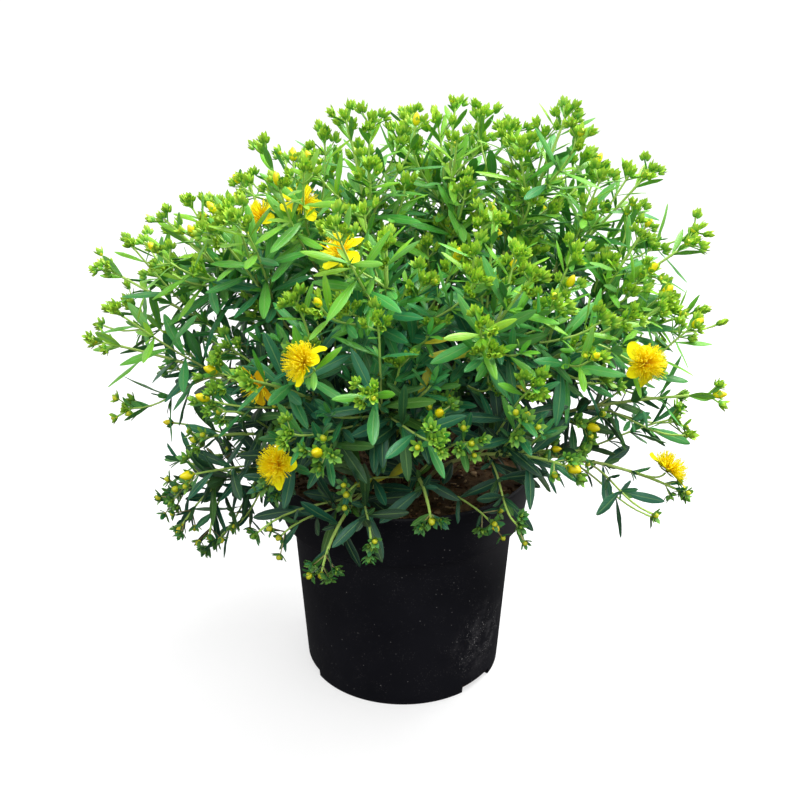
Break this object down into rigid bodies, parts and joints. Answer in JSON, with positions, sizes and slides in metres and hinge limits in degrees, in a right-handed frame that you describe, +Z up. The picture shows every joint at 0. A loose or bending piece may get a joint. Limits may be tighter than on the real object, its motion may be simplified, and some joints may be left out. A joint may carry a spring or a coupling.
{
  "type": "potted st johns wort",
  "caption": "Bushy flowering shrub with opposite leaves, bud clusters and yellow blooms, growing in a round tapered nursery pot with a collar.",
  "frame": {"origin": "centre of the pot's underside", "axes": "+Z up through the plant, +X to the right as seen from the front, -Y towards the front viewer"},
  "size_m": [0.5343, 0.4283, 0.5069],
  "materials": {
    "pot_plastic": "moulded, matte, with dust",
    "potting_soil": "crumbly bark and peat",
    "leafy_stem": "soft satin leaves",
    "bloom": "soft matte petals"
  },
  "bodies": {
    "root": {"pot": "pot_plastic", "soil": "potting_soil", "stem_left_trailing": "leafy_stem", "stem_left_low": "leafy_stem", "stem_left_mid": "leafy_stem", "stem_left_high": "leafy_stem", "stem_upper_left": "leafy_stem", "stem_crown_left": "leafy_stem", "stem_top_left": "leafy_stem", "stem_top": "leafy_stem", "stem_top_right": "leafy_stem", "stem_crown_right": "leafy_stem", "stem_upper_right": "leafy_stem", "stem_right_mid": "leafy_stem", "stem_right_low": "leafy_stem", "stem_right_trailing": "leafy_stem", "stem_front_right_low": "leafy_stem", "stem_front_low": "leafy_stem", "stem_front_trailing": "leafy_stem", "stem_front_left": "leafy_stem", "stem_front": "leafy_stem", "stem_front_high": "leafy_stem", "stem_front_right": "leafy_stem", "stem_front_far_right": "leafy_stem", "stem_back_left": "leafy_stem", "stem_back": "leafy_stem", "stem_back_right": "leafy_stem", "stem_back_low_left": "leafy_stem", "stem_back_low": "leafy_stem", "stem_back_low_right": "leafy_stem", "bloom_upper_left": "bloom", "bloom_crown_left": "bloom", "bloom_front_high": "bloom", "bloom_front_left": "bloom", "bloom_left_low": "bloom", "bloom_front_right": "bloom", "bloom_right_low": "bloom", "bloom_inner_left": "bloom", "bloom_back_left": "bloom", "bloom_back_right": "bloom"}
  },
  "joints": []
}
